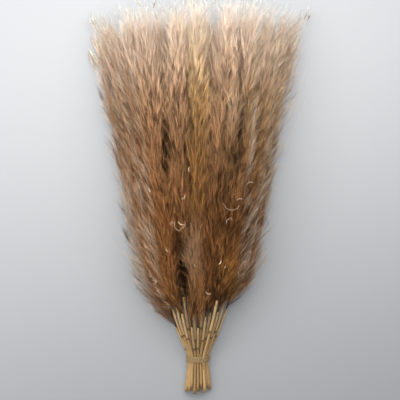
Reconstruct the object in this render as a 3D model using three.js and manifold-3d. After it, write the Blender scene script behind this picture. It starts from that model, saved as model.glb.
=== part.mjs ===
// A tied bundle of pampas grass, cut and dried, lying on a flat surface.
//
// Twenty-six stems lie in four layers, packed side by side where twine ties them and fanned
// out beyond it. Each stem is a bare culm with a long feathery plume on its end. A plume is
// a slim stalk that carries sprays, swept up towards the tip on all sides. The plumes press
// on each other and on the surface, so each one fills the room that its neighbours leave.
//
// Millimetres. The origin is on the surface under the tie, +Y runs along the bundle to the
// plume tips, +Z is up, and the lowest layer lies on Z = 0.

import * as THREE from "three";
import { mergeVertices } from "three/addons/utils/BufferGeometryUtils.js";
import Module from "manifold-3d";

const wasm = await Module();
wasm.setup();

// ---- Driving dimensions ---------------------------------------------------------------

const ROWS = [8, 7, 6, 5]; // stems in each layer, from the surface up
const WIDEST_ROW_SPAN = 3.5; // pitches from the middle to the outermost stem of the first layer

const CUT_END = -93; // the cut ends, before their unevenness
const CUT_UNEVEN = 22;
const PLUME_START = 90; // the lowest plume's base
const PLUME_START_SPREAD = 105;
const TIP_END = 1054; // the furthest tip
const TIP_UNEVEN = 50;
const EDGE_TIP_DROP = 26; // the outermost tips end lower, because they lean out

const CULM_RADIUS = 4.6; // at the cut end
const CULM_TOP_RADIUS = 3.6; // under the plume
const CULM_SIDES = 6;
const CULM_STATIONS = 5;
const SHEATH_STEP = 0.35; // a leaf sheath's edge stands this proud

const TIE_PITCH = 8; // between stems side by side under the tie
const TIE_LAYER = 6.95; // between layers there, so that the stems lie in each other's hollows
const TIE_HALF_WIDTH = 9.6; // half the width of the wound twine
const TIE_TURNS = 5;
const TIE_SIDES = 24;
const TWINE = 3; // the twine's thickness
const TWINE_VALLEY = 0.45; // how high two turns meet, as a share of that
const TWINE_EDGE = 0.22; // the sloping part on each side of a turn, as a share of its width
const KNOT_ACROSS = 9; // from the middle of the bundle to the knot on top
const KNOT_LOOP = 3.4; // the radius of each of its two loops
const KNOT_LONG = 1.3; // which are longer than wide
const KNOT_WIDE = 0.8;
const KNOT_TILT = 0.35; // radians, each loop its own way
const KNOT_APART = 0.75; // from the knot's middle to a loop's, in loop radii
const CONTACT_GAP = 0.3;

const LEAN = 0.182; // how far the outermost stem runs out for each millimetre along
const FLARE = 52; // the extra spread just past the tie
const FLARE_RUN = 160; // the length over which it comes
const SETTLE_RUN = 380; // the length over which a stem leaves its place in the tie for its own
const SHIFT_ACROSS = 0.36; // the spread of those places, in pitches
const SHIFT_UP = 0.24; // and in layers
const WAVER = 0.14; // each stem's own slow bend, in pitches
const WAVER_RUN = 170; // the length of one radian of it
const NOD_START = 720; // the tips nod from here on
const NOD_RUN = 320;
const NOD_SPREAD = 0.5; // how unevenly, in pitches
const EDGE_LEAN = 0.1; // and how far outward, in pitches for each pitch from the middle
const BUTT_FLARE = 0.09; // the spread of the cut ends, behind the tie
const LAYER_RISE = 41; // what the layers gain in height over their height at the tie
const LAYER_RISE_RUN = 300;
const BED_RISE = 27; // how much higher the first layer's middle lies in the plumes
const BED_RISE_RUN = 230;

const PLUME_RADIUS = 53; // where nothing presses on it
const PLUME_BASE = 0.5; // its radius where it starts, as a share of that
const PLUME_FILL = 0.09; // the share of its length in which it becomes full
const PLUME_TAPER = 0.12; // and what it then loses towards the tip
const PLUME_NARROWS = 0.7; // from this share of its length on it narrows more
const PLUME_TIP = 0.3; // to this share of its radius
const EDGE_SPREAD = 0.45; // how much further an outermost plume spreads on its free side
const EDGE_SPREAD_FROM = 0.5; // from this share of its length on
const EDGE_SPREAD_FULL = 0.9; // and in full at this one
const PLUME_GAP = 1.1; // from a plume to the middle between it and the next
const WHORLS = 19; // of sprays along each plume
const WHORL_TURN = -1.03; // radians from one whorl to the next
const STALK_SIDES = 3; // each carries one spray in each whorl
const STALK_RADIUS = 3.5;
const STALK_TIP_RADIUS = 1.6;
const STALK_SHARE = 0.93; // of the plume's length
const SPRAY_ROOT = 0.4; // up its face, as a share of the way to the next whorl
const SPRAY_LENGTH = 190;
const SPRAY_UNEVEN = 0.2; // the spread of the lengths, as a share
const FIRST_SPRAY = 0.6; // the lowest sprays' length, as a share
const SPRAY_GROWN = 0.3; // the share of the plume in which they reach the full length
const SPRAY_WAIST = 0.46; // where a spray is widest, as a share of its length
const SPRAY_WAIST_OUT = 0.66; // and how far out it is there, as a share of the room
const SPRAY_TIP_OUT = 0.97; // its tip, as a share of the room
const SPRAY_HALF_WIDTH = 13;
const SPRAY_WIDEST = 0.3; // half its width as a share of how far out it is, at most
const SPRAY_THICKNESS = 4.2;
const SPRAY_THICKEST = 0.2; // that, as a share of the room, at most

// ---- Small helpers --------------------------------------------------------------------

/** A repeatable draw between 0 and 1 for stem number i and purpose k. */
function draw(i, k) {
  const wave = Math.sin(i * 12.9898 + k * 78.233) * 43758.5453;
  return wave - Math.floor(wave);
}

const smooth = (t) => {
  const c = Math.min(1, Math.max(0, t));
  return c * c * (3 - 2 * c);
};

/** A geometry with only its positions, shared where its faces meet. */
function welded(geometry) {
  geometry.deleteAttribute("normal");
  geometry.deleteAttribute("uv");
  return mergeVertices(geometry, 1e-4);
}

/** A welded geometry with each of its points moved by place. */
function shaped(geometry, place) {
  const moved = welded(geometry);
  const at = moved.getAttribute("position");
  const point = new THREE.Vector3();
  for (let k = 0; k < at.count; k += 1) {
    place(point.fromBufferAttribute(at, k));
    at.setXYZ(k, point.x, point.y, point.z);
  }
  return moved;
}

function solidOf(geometry) {
  const solid = new wasm.Manifold(
    new wasm.Mesh({
      numProp: 3,
      vertProperties: new Float32Array(geometry.getAttribute("position").array),
      triVerts: new Uint32Array(geometry.index.array),
    }),
  );
  if (solid.volume() > 0) return solid;
  const turned = geometry.index.array.slice();
  for (let k = 0; k < turned.length; k += 3) {
    [turned[k + 1], turned[k + 2]] = [turned[k + 2], turned[k + 1]];
  }
  geometry.setIndex(new THREE.BufferAttribute(turned, 1));
  return solidOf(geometry);
}

function geometryOf(solid) {
  const mesh = solid.getMesh();
  return new THREE.BufferGeometry()
    .setAttribute("position", new THREE.BufferAttribute(mesh.vertProperties, 3))
    .setIndex(new THREE.BufferAttribute(mesh.triVerts, 1));
}

// ---- Where the stems lie --------------------------------------------------------------

const STEMS = ROWS.flatMap((count, layer) =>
  Array.from({ length: count }, (_, k) => ({
    across: k - (count - 1) / 2,
    layer,
    atEdge: k === 0 || k === count - 1,
  })),
).map((stem, index) => ({ ...stem, index }));

for (const stem of STEMS) {
  const i = stem.index;
  stem.cut = CUT_END + CUT_UNEVEN * (draw(i, 1) - 0.5);
  stem.plumeStart = PLUME_START + PLUME_START_SPREAD * draw(i, 2);
  stem.tip = TIP_END - TIP_UNEVEN * draw(i, 3) - (stem.atEdge ? EDGE_TIP_DROP : 0);
  stem.shiftAcross = SHIFT_ACROSS * (draw(i, 4) - 0.5);
  stem.shiftUp = SHIFT_UP * (draw(i, 5) - 0.5);
  stem.waverPhase = 2 * Math.PI * draw(i, 6);
  stem.nod = NOD_SPREAD * (draw(i, 17) - 0.5) + EDGE_LEAN * stem.across;
}

/** The pitch between stems side by side at distance y along the bundle. */
function pitchAt(y) {
  const past = Math.max(0, Math.abs(y) - TIE_HALF_WIDTH);
  const spread = y > 0 ? LEAN * past + FLARE * (1 - Math.exp(-past / FLARE_RUN)) : BUTT_FLARE * past;
  return TIE_PITCH + spread / WIDEST_ROW_SPAN;
}

/** The height from one layer to the next. */
function layerAt(y) {
  const past = Math.max(0, y - TIE_HALF_WIDTH);
  return TIE_LAYER + LAYER_RISE * (1 - Math.exp(-past / LAYER_RISE_RUN));
}

/** The height of the first layer's middle. */
function bedAt(y) {
  const past = Math.max(0, y - TIE_HALF_WIDTH);
  return TWINE + CONTACT_GAP + CULM_RADIUS + BED_RISE * (1 - Math.exp(-past / BED_RISE_RUN));
}

/** The middle of a stem and its plume at distance y along the bundle. */
function middleAt(stem, y) {
  const free = smooth((y - TIE_HALF_WIDTH) / SETTLE_RUN);
  const waver = WAVER * Math.sin(y / WAVER_RUN + stem.waverPhase);
  const nod = stem.nod * Math.max(0, (y - NOD_START) / NOD_RUN) ** 2;
  const across = stem.across + free * (stem.shiftAcross + waver) + nod;
  const up = stem.layer + free * stem.shiftUp;
  return new THREE.Vector3(across * pitchAt(y), y, bedAt(y) + up * layerAt(y));
}

// ---- Culms ----------------------------------------------------------------------------

/** The bare stem, from its cut end to just under its plume, with a sheath's edge on it. */
function culm(stem) {
  const end = stem.plumeStart - CONTACT_GAP;
  const stops = [stem.cut, -TIE_HALF_WIDTH, TIE_HALF_WIDTH, 0.5 * (TIE_HALF_WIDTH + end), end];
  const tube = new THREE.CylinderGeometry(1, 1, 1, CULM_SIDES, CULM_STATIONS - 1);
  return shaped(tube, (p) => {
    const station = Math.round((p.y + 0.5) * (CULM_STATIONS - 1));
    const y = stops[station];
    const t = (y - stem.cut) / (end - stem.cut);
    const sheath = station === CULM_STATIONS - 2 ? SHEATH_STEP : 0;
    const radius = CULM_RADIUS + (CULM_TOP_RADIUS - CULM_RADIUS) * t + sheath;
    const middle = middleAt(stem, y);
    // Turned so that +Y of the cylinder is +Y of the bundle and its faces still point out.
    const [side, up] = [p.x, p.z];
    p.set(middle.x + radius * side, y, middle.z + radius * up);
  });
}

// ---- Plumes ---------------------------------------------------------------------------

/** How full an unpressed plume is, up to 1, at share t of its length. */
function fullness(t) {
  const c = Math.min(1, Math.max(0, t));
  const filled = PLUME_BASE + (1 - PLUME_BASE) * smooth(c / PLUME_FILL);
  const narrowed = 1 - (1 - PLUME_TIP) * smooth((c - PLUME_NARROWS) / (1 - PLUME_NARROWS));
  return filled * (1 - PLUME_TAPER * c) * narrowed;
}

/** How far a plume reaches from its middle in one direction before something stops it. */
function reachAt(stem, y, angle) {
  const here = middleAt(stem, y);
  const [dx, dz] = [Math.cos(angle), Math.sin(angle)];
  const t = (y - stem.plumeStart) / (stem.tip - stem.plumeStart);
  const outward = stem.atEdge ? Math.max(0, dx * Math.sign(stem.across)) : 0;
  const spread = smooth((t - EDGE_SPREAD_FROM) / (EDGE_SPREAD_FULL - EDGE_SPREAD_FROM));
  let reach = PLUME_RADIUS * fullness(t) * (1 + EDGE_SPREAD * outward * spread);
  if (dz < 0) reach = Math.min(reach, here.z / (SPRAY_TIP_OUT * -dz));
  for (const other of STEMS) {
    if (other === stem) continue;
    const there = middleAt(other, y).sub(here);
    const distance = Math.hypot(there.x, there.z);
    const towards = (dx * there.x + dz * there.z) / distance;
    if (towards > 0) reach = Math.min(reach, (distance / 2 - PLUME_GAP) / towards);
  }
  return reach;
}

/** Keeps a point of a plume in the room that the plume has, and off the surface's far side. */
function keepIn(stem, p) {
  const middle = middleAt(stem, p.y);
  const [x, z] = [p.x - middle.x, p.z - middle.z];
  const reach = reachAt(stem, p.y, Math.atan2(z, x));
  const share = Math.min(1, reach / Math.max(1e-6, Math.hypot(x, z)));
  return p.set(middle.x + share * x, p.y, Math.max(0, middle.z + share * z));
}

/** The point of a plume at distance y along the bundle, out from its middle at an angle. */
function outAt(stem, y, angle, out, aside = 0) {
  const middle = middleAt(stem, y);
  const [dx, dz] = [Math.cos(angle), Math.sin(angle)];
  return keepIn(stem, new THREE.Vector3(
    middle.x + out * dx - aside * dz,
    y,
    middle.z + out * dz + aside * dx,
  ));
}

/**
 * A plume: a slim stalk with half of its side faces drawn out into sprays. A spray starts as
 * its face, is widest at its waist, and ends in a point that is swept up and out.
 */
function plume(stem) {
  const length = stem.tip - stem.plumeStart;
  const start = 2 * Math.PI * draw(stem.index, 8);
  const stalk = welded(new THREE.CylinderGeometry(1, 1, 1, STALK_SIDES, WHORLS));
  const source = stalk.getAttribute("position");
  const points = [];
  const whorls = [];
  const angles = [];
  for (let k = 0; k < source.count; k += 1) {
    const [x, z] = [source.getX(k), source.getZ(k)];
    whorls[k] = Math.round((0.5 - source.getY(k)) * WHORLS);
    angles[k] = start + WHORL_TURN * whorls[k] + Math.atan2(z, x);
    const share = whorls[k] / WHORLS;
    const radius = Math.hypot(x, z) * (STALK_RADIUS + (STALK_TIP_RADIUS - STALK_RADIUS) * share);
    points[k] = outAt(stem, stem.plumeStart + STALK_SHARE * length * share, angles[k], radius);
  }

  const triangles = [];
  for (let f = 0; f < stalk.index.count; f += 3) {
    const face = [0, 1, 2].map((corner) => stalk.index.getX(f + corner));
    const top = Math.max(...face.map((k) => whorls[k]));
    if (face.filter((k) => whorls[k] === top).length > 1) {
      triangles.push(...face);
      continue;
    }
    const angle = Math.atan2(
      face.reduce((sum, k) => sum + Math.sin(angles[k]), 0),
      face.reduce((sum, k) => sum + Math.cos(angles[k]), 0),
    );
    const share = (top - 1) / WHORLS;
    const root = stem.plumeStart + STALK_SHARE * length * (share + SPRAY_ROOT / WHORLS);
    const grown = FIRST_SPRAY + (1 - FIRST_SPRAY) * smooth(share / SPRAY_GROWN);
    const uneven = 1 + SPRAY_UNEVEN * (draw(stem.index, 100 + f) - 0.5);
    const wanted = SPRAY_LENGTH * grown * uneven;
    const left = stem.tip - root;
    const tip = root + left * (1 - Math.exp(-wanted / left));
    const waist = root + SPRAY_WAIST * (tip - root);
    const room = reachAt(stem, waist, angle);
    const out = SPRAY_WAIST_OUT * room;
    const halfWidth = Math.min(SPRAY_HALF_WIDTH, SPRAY_WIDEST * out);

    const ring = face.map((k) => {
      const side = whorls[k] === top ? 0 : Math.sign(Math.sin(angles[k] - angle));
      const inner = whorls[k] === top ? Math.min(SPRAY_THICKNESS, SPRAY_THICKEST * room) : 0;
      return points.push(outAt(stem, waist, angle, out - inner, side * halfWidth)) - 1;
    });
    const end = points.push(outAt(stem, tip, angle, SPRAY_TIP_OUT * reachAt(stem, tip, angle))) - 1;
    for (let k = 0; k < 3; k += 1) {
      const next = (k + 1) % 3;
      triangles.push(face[k], face[next], ring[next]);
      triangles.push(face[k], ring[next], ring[k]);
      triangles.push(ring[k], ring[next], end);
    }
  }
  return new THREE.BufferGeometry().setFromPoints(points).setIndex(triangles);
}

// ---- Tie ------------------------------------------------------------------------------

/** The outline of the stems under the tie, grown by grow, as flat sides that touch it. */
function tieOutline(angle, grow) {
  const radius = (CULM_RADIUS + CONTACT_GAP + grow) / Math.cos(Math.PI / TIE_SIDES);
  const [dx, dz] = [Math.cos(angle), Math.sin(angle)];
  const corners = STEMS.map((stem) => middleAt(stem, 0));
  const furthest = corners.reduce((a, b) => (b.x * dx + b.z * dz > a.x * dx + a.z * dz ? b : a));
  return [furthest.x + radius * dx, furthest.z + radius * dz];
}

/** Two small loops of twine, drawn through each other, half sunk in the turns on top. */
function knot() {
  const top = Math.max(...STEMS.map((stem) => middleAt(stem, 0).z)) + CULM_RADIUS + CONTACT_GAP + TWINE;
  const loops = [-1, 1].map((side) => {
    const loop = new THREE.TorusGeometry(KNOT_LOOP, TWINE / 2, 5, 9);
    loop.scale(KNOT_LONG, KNOT_WIDE, 1);
    loop.rotateX(KNOT_TILT * side);
    loop.translate(KNOT_ACROSS + KNOT_APART * side * KNOT_LOOP, 0, top);
    return solidOf(welded(loop));
  });
  return loops[0].add(loops[1]);
}

/** Twine wound round the stems, turn beside turn, with its knot on top. */
function tie() {
  const turn = (2 * TIE_HALF_WIDTH) / TIE_TURNS;
  const profile = [new THREE.Vector2(1, -TIE_HALF_WIDTH)];
  for (let k = 0; k < TIE_TURNS; k += 1) {
    const low = -TIE_HALF_WIDTH + k * turn;
    if (k > 0) profile.push(new THREE.Vector2(1 + TWINE_VALLEY * TWINE, low));
    profile.push(new THREE.Vector2(1 + TWINE, low + TWINE_EDGE * turn));
    profile.push(new THREE.Vector2(1 + TWINE, low + (1 - TWINE_EDGE) * turn));
  }
  profile.push(new THREE.Vector2(1, TIE_HALF_WIDTH));
  profile.push(profile[0].clone());
  // Turned on a unit circle, with a flat side straight down, then moved out to the stems.
  const ring = new THREE.LatheGeometry(profile, TIE_SIDES, Math.PI / TIE_SIDES);
  const turns = shaped(ring, (p) => {
    const [x, z] = tieOutline(Math.atan2(p.z, p.x), Math.hypot(p.x, p.z) - 1);
    p.set(x, p.y, z);
  });
  return solidOf(turns).add(knot());
}

// ---- The bundle -----------------------------------------------------------------------

const straw = new THREE.MeshStandardMaterial({ color: 0xb98d4f, roughness: 0.62, metalness: 0 });
const feathers = new THREE.MeshStandardMaterial({ color: 0xb08e6a, roughness: 0.9, metalness: 0 });
const jute = new THREE.MeshStandardMaterial({ color: 0xa98a5c, roughness: 0.92, metalness: 0 });

const bundle = new THREE.Group();
bundle.name = "pampas_grass_bundle";

function addPiece(name, geometry, material) {
  const mesh = new THREE.Mesh(geometry, material);
  mesh.name = name;
  bundle.add(mesh);
}

for (const stem of STEMS) {
  const number = String(stem.index + 1).padStart(2, "0");
  addPiece(`culm_${number}`, geometryOf(solidOf(culm(stem))), straw);
  addPiece(`plume_${number}`, geometryOf(solidOf(plume(stem))), feathers);
}
addPiece("tie", geometryOf(tie()), jute);

export default bundle;
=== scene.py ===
"""A tied bundle of pampas grass, cut and dried, lying on a pale floor: its looks, in metres.

+Y runs along the bundle to the plume tips, +Z is up, and the bundle lies on z = 0.
"""

import math

import bpy
import numpy as np
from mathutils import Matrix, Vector


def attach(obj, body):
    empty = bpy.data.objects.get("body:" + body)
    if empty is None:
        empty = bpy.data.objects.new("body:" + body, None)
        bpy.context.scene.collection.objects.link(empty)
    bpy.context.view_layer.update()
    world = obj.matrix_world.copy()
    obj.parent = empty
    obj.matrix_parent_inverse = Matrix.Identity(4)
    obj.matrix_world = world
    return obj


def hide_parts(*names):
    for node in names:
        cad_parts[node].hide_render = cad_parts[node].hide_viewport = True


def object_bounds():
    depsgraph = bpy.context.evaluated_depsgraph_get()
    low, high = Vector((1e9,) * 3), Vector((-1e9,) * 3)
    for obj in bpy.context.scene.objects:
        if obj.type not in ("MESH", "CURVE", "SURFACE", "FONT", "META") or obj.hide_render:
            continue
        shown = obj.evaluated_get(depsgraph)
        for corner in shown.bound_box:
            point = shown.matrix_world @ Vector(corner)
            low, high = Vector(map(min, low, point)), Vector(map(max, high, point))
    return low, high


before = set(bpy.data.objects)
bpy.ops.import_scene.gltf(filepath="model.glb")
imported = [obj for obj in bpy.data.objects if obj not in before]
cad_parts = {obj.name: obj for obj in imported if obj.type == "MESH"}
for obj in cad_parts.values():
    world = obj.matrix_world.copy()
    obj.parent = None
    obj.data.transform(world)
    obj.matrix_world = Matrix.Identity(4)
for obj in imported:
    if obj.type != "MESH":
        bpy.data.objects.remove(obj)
cad_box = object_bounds()
scene = bpy.context.scene

# ---- Camera ---------------------------------------------------------------------------
# It looks straight down on the bundle, which lies with its plume tips at the top of the
# picture. The picture is square.

CAMERA_HEIGHT = 2.75
CAMERA_AT = (0.006, 0.474)
VIEW_WIDTH = 1.160  # of the picture, in the middle of the bundle's height
VIEW_LEVEL = 0.10

camera_data = bpy.data.cameras.new("camera")
camera_data.sensor_width = 36.0
camera_data.lens = camera_data.sensor_width * (CAMERA_HEIGHT - VIEW_LEVEL) / VIEW_WIDTH
camera_data.clip_end = 20.0
camera = bpy.data.objects.new("camera", camera_data)
camera.location = (*CAMERA_AT, CAMERA_HEIGHT)
scene.collection.objects.link(camera)
scene.camera = camera

# ---- Floor and studio light -----------------------------------------------------------
# A plain pale floor under a large soft lamp beyond the tips, so that the floor is brighter
# there, with a weaker lamp at the left and an even glow all round.

FLOOR_COLOUR = (0.315, 0.318, 0.323)
FLOOR_SIZE = 9.0
LAMPS = (  # name, width, length, place, what it is aimed at, power
    ("lamp_over_tips", 2.25, 1.1, (-0.06, 1.20, 1.11), (-0.06, 1.22, 0.0), 44.3),
    ("lamp_beside", 1.4, 1.4, (-1.35, 0.26, 0.81), (0.0, 0.6, 0.0), 11.5),
)
GLOW_COLOUR = (0.93, 0.96, 1.0)
GLOW_STRENGTH = 0.667


def shader_of(material):
    """The material's node tree and its Principled shader."""
    material.use_nodes = True
    tree = material.node_tree
    return tree, next(n for n in tree.nodes if n.type == "BSDF_PRINCIPLED")


def deselect():
    """Leaves nothing selected, since an operator acts on all that is."""
    for thing in bpy.context.selected_objects:
        thing.select_set(False)
    bpy.context.view_layer.objects.active = None


deselect()
bpy.ops.mesh.primitive_plane_add(size=FLOOR_SIZE, location=(0, 0.45, 0))
floor = bpy.context.object
floor.name = "floor"
bpy.ops.object.transform_apply(location=True)
floor_paint = bpy.data.materials.new("floor_paint")
tree, shader = shader_of(floor_paint)
shader.inputs["Base Color"].default_value = (*FLOOR_COLOUR, 1)
shader.inputs["Roughness"].default_value = 0.95
shader.inputs["Specular IOR Level"].default_value = 0.1
floor.data.materials.append(floor_paint)

for name, width, length, place, target, power in LAMPS:
    lamp_data = bpy.data.lights.new(name, "AREA")
    lamp_data.shape = "RECTANGLE"
    lamp_data.size = width
    lamp_data.size_y = length
    lamp_data.energy = power
    lamp = bpy.data.objects.new(name, lamp_data)
    lamp.location = place
    aim = Vector(target) - lamp.location
    lamp.rotation_euler = aim.to_track_quat("-Z", "Y").to_euler()
    scene.collection.objects.link(lamp)

glow = bpy.data.worlds.new("glow")
glow.use_nodes = True
background = glow.node_tree.nodes["Background"]
background.inputs["Color"].default_value = (*GLOW_COLOUR, 1)
background.inputs["Strength"].default_value = GLOW_STRENGTH
scene.world = glow
scene.view_settings.view_transform = "Standard"

# ---- Culms ----------------------------------------------------------------------------
# The bare lower stems: hard golden straw with a joint, a leaf sheath that wraps it from there
# upwards, and a cut end that shows the pale pith. Packed in four layers where the twine ties
# them, and fanned out beyond it.

ROWS = (8, 7, 6, 5)  # stems in each layer, from the floor up
WIDEST_ROW_SPAN = 3.5
CUT_END = -0.093
CUT_UNEVEN = 0.022
PLUME_START = 0.090
PLUME_START_SPREAD = 0.105
TIP_END = 1.054
TIP_UNEVEN = 0.050
EDGE_TIP_DROP = 0.026
CULM_RADIUS = 0.0046
TIE_PITCH = 0.008
TIE_LAYER = 0.00695
TIE_HALF_WIDTH = 0.0096
TWINE = 0.003
CONTACT_GAP = 0.0003
LEAN = 0.182
FLARE = 0.052
FLARE_RUN = 0.160
SETTLE_RUN = 0.380
SHIFT_ACROSS = 0.36
SHIFT_UP = 0.24
WAVER = 0.14
WAVER_RUN = 0.170
NOD_START = 0.720
NOD_RUN = 0.320
NOD_SPREAD = 0.5
EDGE_LEAN = 0.10
BUTT_FLARE = 0.09
LAYER_RISE = 0.041
LAYER_RISE_RUN = 0.300
BED_RISE = 0.027
BED_RISE_RUN = 0.230


def draw(i, k):
    """A repeatable draw between 0 and 1 for stem number i and purpose k."""
    wave = np.sin(i * 12.9898 + k * 78.233) * 43758.5453
    return wave - np.floor(wave)


def smooth(t):
    """From 0 to 1 with level ends."""
    c = np.clip(t, 0, 1)
    return c * c * (3 - 2 * c)


stem_number = np.arange(sum(ROWS))
across_of = np.concatenate([np.arange(n) - (n - 1) / 2 for n in ROWS])
layer_of = np.concatenate([np.full(n, k) for k, n in enumerate(ROWS)])
at_edge = np.concatenate([np.isin(np.arange(n), (0, n - 1)) for n in ROWS])
cut_of = CUT_END + CUT_UNEVEN * (draw(stem_number, 1) - 0.5)
start_of = PLUME_START + PLUME_START_SPREAD * draw(stem_number, 2)
tip_of = TIP_END - TIP_UNEVEN * draw(stem_number, 3) - EDGE_TIP_DROP * at_edge
shift_across_of = SHIFT_ACROSS * (draw(stem_number, 4) - 0.5)
shift_up_of = SHIFT_UP * (draw(stem_number, 5) - 0.5)
waver_phase_of = 2 * math.pi * draw(stem_number, 6)
nod_of = NOD_SPREAD * (draw(stem_number, 17) - 0.5) + EDGE_LEAN * across_of


def middles(y):
    """x and z of every stem's middle at the distances y along the bundle: two arrays."""
    y = np.asarray(y, float)[..., None]
    past = np.maximum(0, np.abs(y) - TIE_HALF_WIDTH)
    fanned = LEAN * past + FLARE * (1 - np.exp(-past / FLARE_RUN))
    pitch = TIE_PITCH + np.where(y > 0, fanned, BUTT_FLARE * past) / WIDEST_ROW_SPAN
    ahead = np.maximum(0, y - TIE_HALF_WIDTH)
    layer = TIE_LAYER + LAYER_RISE * (1 - np.exp(-ahead / LAYER_RISE_RUN))
    bed = TWINE + CONTACT_GAP + CULM_RADIUS + BED_RISE * (1 - np.exp(-ahead / BED_RISE_RUN))
    free = smooth((y - TIE_HALF_WIDTH) / SETTLE_RUN)
    waver = WAVER * np.sin(y / WAVER_RUN + waver_phase_of)
    nod = nod_of * (np.maximum(0, y - NOD_START) / NOD_RUN) ** 2
    across = across_of + free * (shift_across_of + waver) + nod
    up = layer_of + free * shift_up_of
    return across * pitch, bed + up * layer


def piece_of(name, points, triangles, material, values, on_map=None):
    """A mesh piece at the origin, with its attributes and UV map, that rides on the one body."""
    mesh = bpy.data.meshes.new(name)
    mesh.vertices.add(len(points))
    mesh.vertices.foreach_set("co", points.astype(np.float32).ravel())
    mesh.loops.add(triangles.size)
    mesh.loops.foreach_set("vertex_index", triangles.astype(np.int32).ravel())
    mesh.polygons.add(len(triangles))
    mesh.polygons.foreach_set("loop_start", np.arange(0, triangles.size, 3, dtype=np.int32))
    mesh.polygons.foreach_set("use_smooth", np.ones(len(triangles), bool))
    for key, value in values.items():
        vector = value.ndim == 2
        attribute = mesh.attributes.new(key, "FLOAT_VECTOR" if vector else "FLOAT", "POINT")
        attribute.data.foreach_set("vector" if vector else "value", value.astype(np.float32).ravel())
    if on_map is not None:
        uv_map = mesh.uv_layers.new(name="OFBake")
        uv_map.data.foreach_set("uv", on_map[triangles.ravel()].astype(np.float32).ravel())
    mesh.update(calc_edges=True)
    mesh.materials.append(material)
    piece = bpy.data.objects.new(name, mesh)
    scene.collection.objects.link(piece)
    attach(piece, "root")
    return piece


def link(tree, source, target):
    tree.links.new(source, target)


def added(tree, kind, **settings):
    """A new node with its properties set."""
    new = tree.nodes.new(kind)
    for key, value in settings.items():
        setattr(new, key, value)
    return new


def put(tree, value, socket):
    """Links a value that is another node's output, and sets one that is a number."""
    if isinstance(value, bpy.types.NodeSocket):
        link(tree, value, socket)
    else:
        socket.default_value = value


def read(tree, name):
    """The piece's attribute of that name, as a number."""
    return added(tree, "ShaderNodeAttribute", attribute_name=name).outputs["Fac"]


def worked_out(tree, operation, *values):
    """What a sum or a product of the values comes to."""
    node = added(tree, "ShaderNodeMath", operation=operation)
    for value, socket in zip(values, node.inputs):
        put(tree, value, socket)
    return node.outputs[0]


def mapped(tree, value, low, high, to_low=0.0, to_high=1.0, kind="LINEAR"):
    """The value taken from between low and high to between to_low and to_high."""
    node = added(tree, "ShaderNodeMapRange", interpolation_type=kind)
    names = ("Value", "From Min", "From Max", "To Min", "To Max")
    for given, name in zip((value, low, high, to_low, to_high), names):
        put(tree, given, node.inputs[name])
    return node.outputs["Result"]


STRAW_LENGTH = 0.240  # of the pattern, which is stretched to each stem's own length
STRAW_SIDES = 14
STRAW_RADIUS = 0.0045  # at the cut end
STRAW_TIE_RADIUS = 0.0039
STRAW_TOP_RADIUS = 0.0034
STRAW_TIE_AT = 0.085  # where the twine comes, from the cut end
JOINT_AT = 0.158
JOINT_HEIGHT = 0.0035
JOINT_SWELL = 0.16
SHEATH_MOUTH = 0.226
SHEATH_THICKNESS = 0.0004
MOUTH_SLANT = 1.0  # radians
RIM = 0.0012  # the hard wall at the cut end, round the soft pith
PITH_DEPTH = 0.0006


def straw_radius(z):
    """The stem's radius at z on the pattern, with the swelling at its joint."""
    plain = np.interp(z, (0, STRAW_TIE_AT - 0.02, STRAW_TIE_AT + 0.02, STRAW_LENGTH),
                      (STRAW_RADIUS, STRAW_TIE_RADIUS, STRAW_TIE_RADIUS, STRAW_TOP_RADIUS))
    return plain * (1 + JOINT_SWELL * math.exp(-((z - JOINT_AT) / JOINT_HEIGHT) ** 2))


def drawn_out(stations):
    """A round stem along +Z, extruded from one station to the next: height and radius."""
    height, radius = stations[0]
    bpy.ops.mesh.primitive_circle_add(
        vertices=STRAW_SIDES, radius=radius, fill_type="NGON", location=(0, 0, height))
    stem = bpy.context.object
    bpy.ops.object.transform_apply(location=True)
    bpy.ops.object.mode_set(mode="EDIT")
    bpy.ops.mesh.select_all(action="SELECT")
    for next_height, next_radius in stations[1:]:
        step = next_height - height
        bpy.ops.mesh.extrude_region_move(TRANSFORM_OT_translate={"value": (0, 0, step)})
        share = next_radius / radius
        bpy.ops.transform.resize(value=(share, share, 1), center_override=(0, 0, next_height))
        height, radius = next_height, next_radius
    bpy.ops.object.mode_set(mode="OBJECT")
    return stem


def choose_faces(piece, wanted):
    """Selects the faces of piece whose middle and normal are wanted, and nothing else."""
    bpy.ops.mesh.select_mode(type="FACE")
    bpy.ops.mesh.select_all(action="DESELECT")
    bpy.ops.object.mode_set(mode="OBJECT")
    for face in piece.data.polygons:
        face.select = wanted(face.center, face.normal)
    bpy.ops.object.mode_set(mode="EDIT")


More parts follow.
